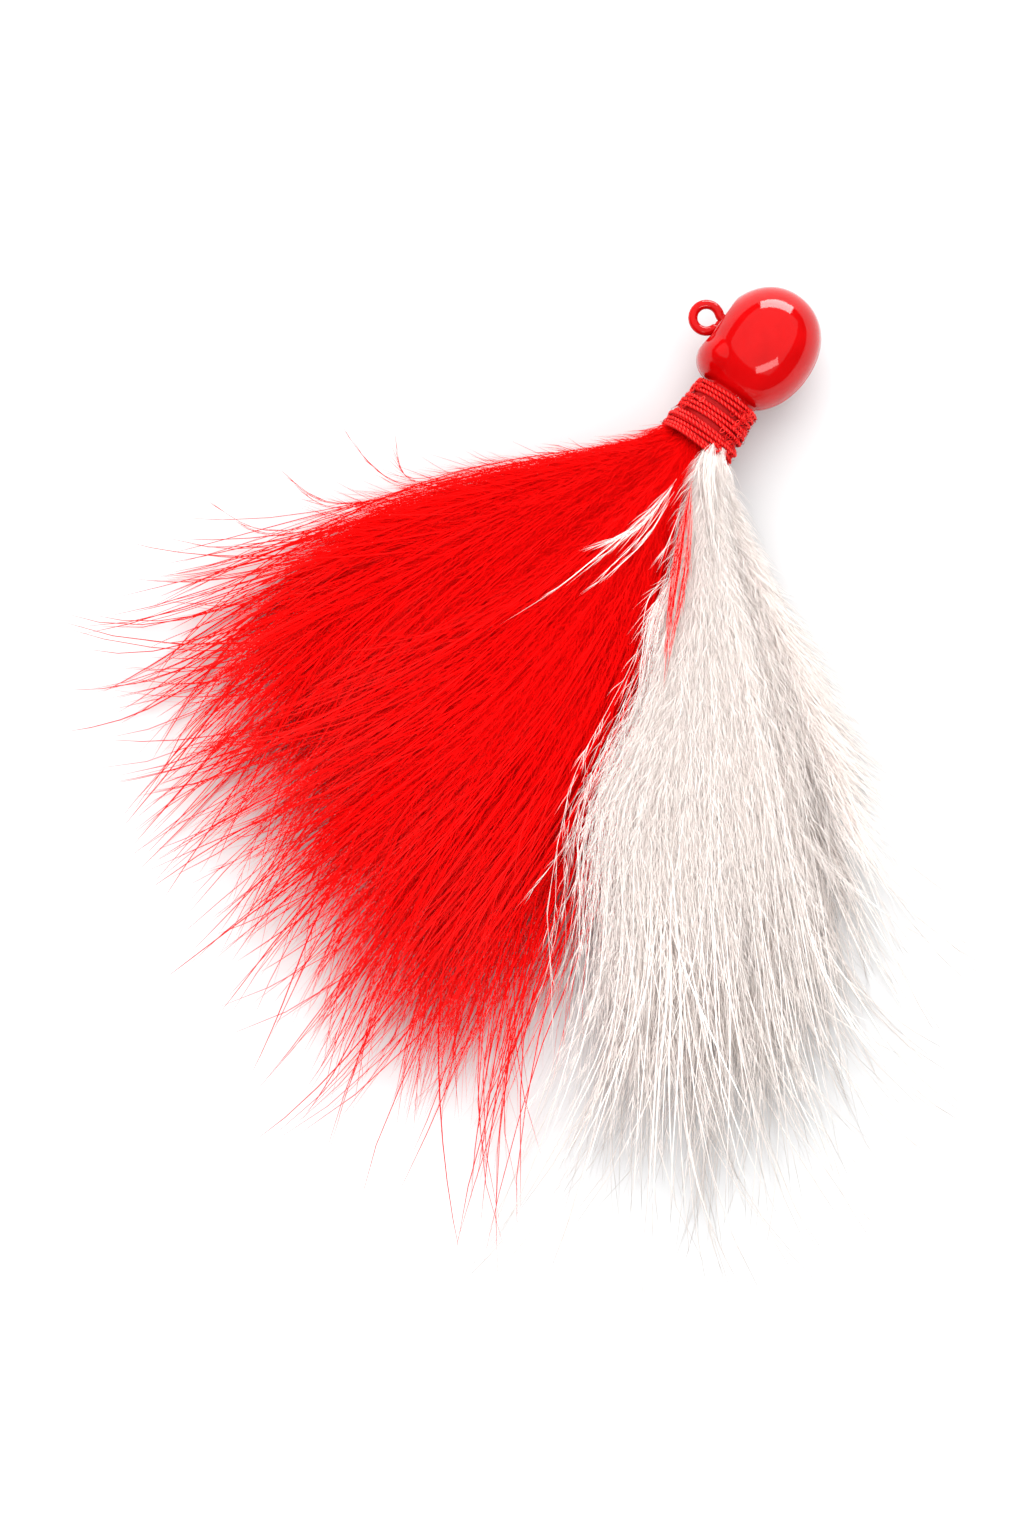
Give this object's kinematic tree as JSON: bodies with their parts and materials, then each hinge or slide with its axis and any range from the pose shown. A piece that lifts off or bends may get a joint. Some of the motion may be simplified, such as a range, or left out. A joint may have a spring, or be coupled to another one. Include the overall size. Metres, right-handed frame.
{
  "type": "marabou jig",
  "caption": "Ball-head fishing jig hook with a line eye, a thread-wound collar and a wide fan of soft red and white feather plumes.",
  "frame": {"origin": "centre of the line eye's hole, midway through the eye wire", "axes": "+Z through the line eye's hole and up from the table the jig lies on; +X along the hook shank towards the tail of the plumes; +Y towards the white plumes"},
  "size_m": [0.0699, 0.0729, 0.0088],
  "materials": {
    "head_paint": "gloss",
    "hook_steel": "satin",
    "red_thread": "satin",
    "red_marabou": "matte",
    "white_marabou": "matte",
    "red_quill": "satin",
    "white_quill": "satin"
  },
  "bodies": {
    "jig": {"jig_head": "head_paint", "hook_eye": "head_paint", "hook_shank": "hook_steel", "hook_bend": "hook_steel", "hook_point": "hook_steel", "thread_base_layer": "red_thread", "thread_front_band": "red_thread", "thread_middle_band": "red_thread", "thread_rear_band": "red_thread", "thread_whip_finish": "red_thread", "red_quill_butts": "red_quill", "white_quill_butts": "white_quill"},
    "red_plume_1": {"red_plume_1_barbs": "red_marabou", "red_plume_1_quill": "red_quill"},
    "red_plume_2": {"red_plume_2_barbs": "red_marabou", "red_plume_2_quill": "red_quill"},
    "red_plume_3": {"red_plume_3_barbs": "red_marabou", "red_plume_3_quill": "red_quill"},
    "red_plume_4": {"red_plume_4_barbs": "red_marabou", "red_plume_4_quill": "red_quill"},
    "red_plume_5": {"red_plume_5_barbs": "red_marabou", "red_plume_5_quill": "red_quill"},
    "white_plume_1": {"white_plume_1_barbs": "white_marabou", "white_plume_1_quill": "white_quill"},
    "white_plume_2": {"white_plume_2_barbs": "white_marabou", "white_plume_2_quill": "white_quill"},
    "white_plume_3": {"white_plume_3_barbs": "white_marabou", "white_plume_3_quill": "white_quill"},
    "white_plume_4": {"white_plume_4_barbs": "white_marabou", "white_plume_4_quill": "white_quill"}
  },
  "joints": [
    {"name": "red_plume_1_sway", "type": "hinge", "parent": "jig", "child": "red_plume_1", "pos_m": [0.0083, 0.00465, 0], "axis": [0, 0, 1], "range_deg": [-8, 28], "stiffness_Nm_per_rad": 0.0004},
    {"name": "red_plume_2_sway", "type": "hinge", "parent": "jig", "child": "red_plume_2", "pos_m": [0.0083, 0.00465, 0], "axis": [0, 0, 1], "range_deg": [-10, 10], "stiffness_Nm_per_rad": 0.0004},
    {"name": "red_plume_3_sway", "type": "hinge", "parent": "jig", "child": "red_plume_3", "pos_m": [0.0083, 0.00465, 0], "axis": [0, 0, 1], "range_deg": [-20, 14], "stiffness_Nm_per_rad": 0.0004},
    {"name": "red_plume_4_sway", "type": "hinge", "parent": "jig", "child": "red_plume_4", "pos_m": [0.0083, 0.00465, 0], "axis": [0, 0, 1], "range_deg": [-10, 22], "stiffness_Nm_per_rad": 0.0004},
    {"name": "red_plume_5_sway", "type": "hinge", "parent": "jig", "child": "red_plume_5", "pos_m": [0.0083, 0.00465, 0], "axis": [0, 0, 1], "range_deg": [-20, 20], "stiffness_Nm_per_rad": 0.0004},
    {"name": "white_plume_1_sway", "type": "hinge", "parent": "jig", "child": "white_plume_1", "pos_m": [0.0083, 0.00465, 0], "axis": [0, 0, 1], "range_deg": [-24, 8], "stiffness_Nm_per_rad": 0.0004},
    {"name": "white_plume_2_sway", "type": "hinge", "parent": "jig", "child": "white_plume_2", "pos_m": [0.0083, 0.00465, 0], "axis": [0, 0, 1], "range_deg": [-8, 10], "stiffness_Nm_per_rad": 0.0004},
    {"name": "white_plume_3_sway", "type": "hinge", "parent": "jig", "child": "white_plume_3", "pos_m": [0.0083, 0.00465, 0], "axis": [0, 0, 1], "range_deg": [-18, 8], "stiffness_Nm_per_rad": 0.0004},
    {"name": "white_plume_4_sway", "type": "hinge", "parent": "jig", "child": "white_plume_4", "pos_m": [0.0083, 0.00465, 0], "axis": [0, 0, 1], "range_deg": [-28, 12], "stiffness_Nm_per_rad": 0.0004}
  ]
}
